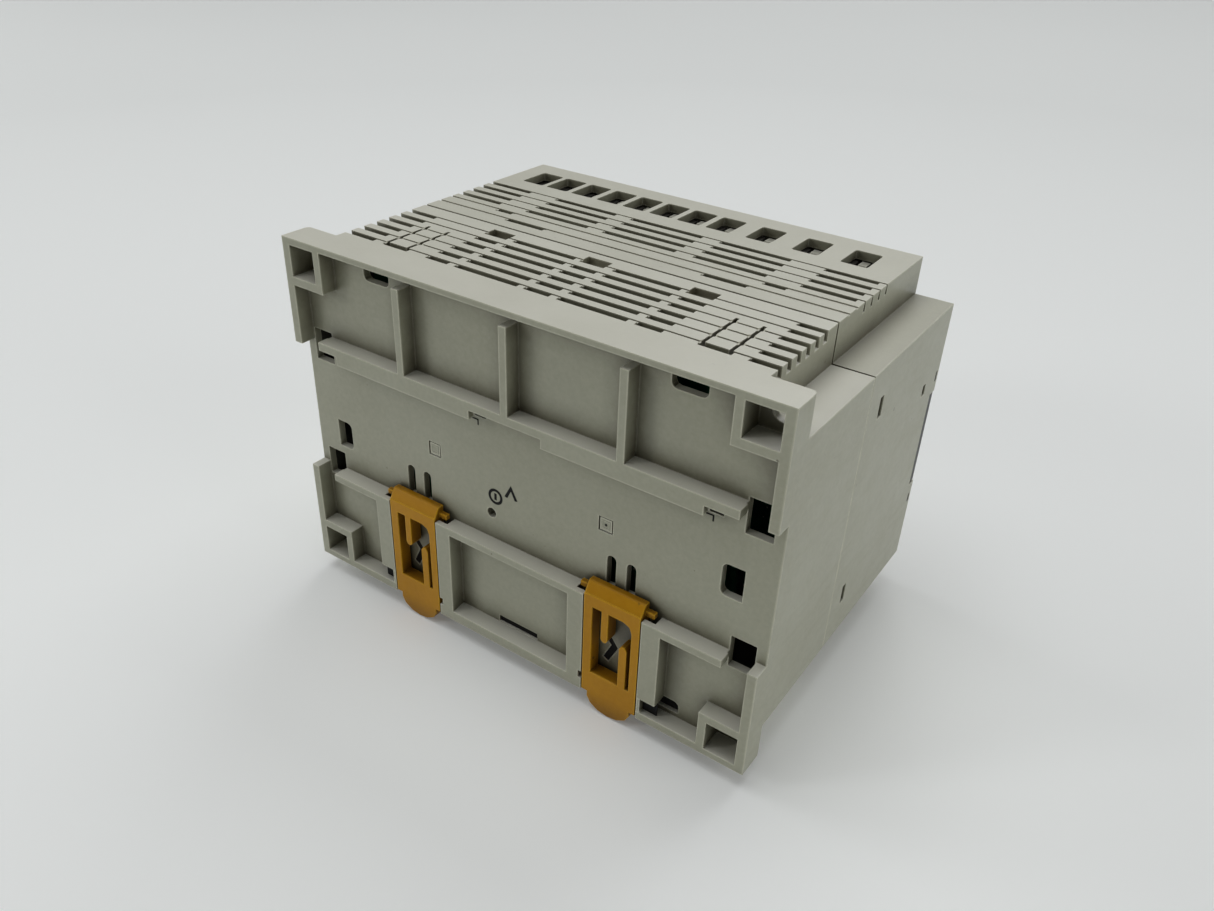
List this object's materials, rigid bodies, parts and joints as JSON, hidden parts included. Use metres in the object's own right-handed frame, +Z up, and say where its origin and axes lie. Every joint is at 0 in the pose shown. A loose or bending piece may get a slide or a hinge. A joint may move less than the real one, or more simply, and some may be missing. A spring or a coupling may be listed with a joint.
{
  "type": "programmable logic controller",
  "caption": "Brick-shaped controller module with a vented case, hinged terminal covers, a rear mounting channel for a 35 mm rail and sliding rail clips.",
  "frame": {"origin": "centre of the bounding box in plan, at the height of the lowest points, the tips of the two rail clips", "axes": "+X to the viewer's right seen from the front, -Y out of the front, +Y out of the rear face, +Z up as mounted on the rail"},
  "size_m": [0.13, 0.085, 0.0945],
  "materials": {
    "housing_grey": "fine spark texture",
    "clip_amber": "satin moulded",
    "panel_dark": "fine texture",
    "lens_smoked": "polished, smoked",
    "terminal_black": "moulded",
    "screw_steel": "zinc plated",
    "board_green": "solder mask",
    "part_black": "moulded",
    "shell_metal": "nickel plated",
    "core_steel": "varnished laminations",
    "tape_yellow": "wound tape",
    "cell_wrap": "shrink wrap",
    "can_sleeve": "shrink sleeve",
    "sink_alloy": "extruded",
    "tube_glass": "clear tube",
    "knob_white": "moulded"
  },
  "bodies": {
    "module": {"battery": "cell_wrap", "battery_holder": "part_black", "bulk_capacitor": "can_sleeve", "cpu_board": "board_green", "cpu_header": "part_black", "expansion_cover": "housing_grey", "expansion_socket": "part_black", "filter_choke": "tape_yellow", "front_case": "housing_grey", "front_panel": "panel_dark", "fuse": "tube_glass", "heat_sink": "sink_alloy", "io_board": "board_green", "led_lens": "lens_smoked", "light_guide": "knob_white", "lower_screw_01": "screw_steel", "lower_screw_02": "screw_steel", "lower_screw_03": "screw_steel", "lower_screw_04": "screw_steel", "lower_screw_05": "screw_steel", "lower_screw_06": "screw_steel", "lower_screw_07": "screw_steel", "lower_screw_08": "screw_steel", "lower_terminal_block": "terminal_black", "mode_switch_body": "part_black", "option_cover_1": "housing_grey", "option_cover_2": "housing_grey", "optocoupler_bank": "part_black", "power_board": "board_green", "processor": "part_black", "rear_case": "housing_grey", "relay_1": "part_black", "relay_2": "part_black", "relay_3": "part_black", "riser_board": "board_green", "transformer_coil": "tape_yellow", "transformer_core": "core_steel", "trimmer_body": "part_black", "upper_screw_01": "screw_steel", "upper_screw_02": "screw_steel", "upper_screw_03": "screw_steel", "upper_screw_04": "screw_steel", "upper_screw_05": "screw_steel", "upper_screw_06": "screw_steel", "upper_screw_07": "screw_steel", "upper_screw_08": "screw_steel", "upper_screw_09": "screw_steel", "upper_screw_10": "screw_steel", "upper_screw_11": "screw_steel", "upper_terminal_block": "terminal_black", "usb_shell": "shell_metal", "usb_tongue": "part_black"},
    "clip_left": {"din_clip_left": "clip_amber"},
    "clip_right": {"din_clip_right": "clip_amber"},
    "upper_cover": {"upper_terminal_cover": "housing_grey"},
    "lower_cover": {"lower_terminal_cover": "housing_grey"},
    "door": {"port_door": "panel_dark"},
    "mode_knob": {"mode_switch_slider": "knob_white"},
    "trimmer_a": {"trimmer_rotor_1": "knob_white"},
    "trimmer_b": {"trimmer_rotor_2": "knob_white"}
  },
  "joints": [
    {"name": "clip_left_slide", "type": "slide", "parent": "module", "child": "clip_left", "axis": [0, 0, -1], "range_m": [0, 0.0045]},
    {"name": "clip_right_slide", "type": "slide", "parent": "module", "child": "clip_right", "axis": [0, 0, -1], "range_m": [0, 0.0045]},
    {"name": "upper_cover_hinge", "type": "hinge", "parent": "module", "child": "upper_cover", "pos_m": [0, -0.0412, 0.069], "axis": [1, 0, 0], "range_deg": [0, 94]},
    {"name": "lower_cover_hinge", "type": "hinge", "parent": "module", "child": "lower_cover", "pos_m": [0, -0.0412, 0.03], "axis": [-1, 0, 0], "range_deg": [0, 94]},
    {"name": "port_door_hinge", "type": "hinge", "parent": "module", "child": "door", "pos_m": [-0.0386, -0.0412, 0.0494], "axis": [0, 0, 1], "range_deg": [0, 100]},
    {"name": "mode_knob_slide", "type": "slide", "parent": "module", "child": "mode_knob", "axis": [0, 0, 1], "range_m": [0, 0.004]},
    {"name": "trimmer_a_turn", "type": "hinge", "parent": "module", "child": "trimmer_a", "pos_m": [0.0345, -0.0375, 0.0395], "axis": [0, -1, 0], "range_deg": [-135, 135]},
    {"name": "trimmer_b_turn", "type": "hinge", "parent": "module", "child": "trimmer_b", "pos_m": [0.0345, -0.0375, 0.0465], "axis": [0, -1, 0], "range_deg": [-135, 135]}
  ]
}
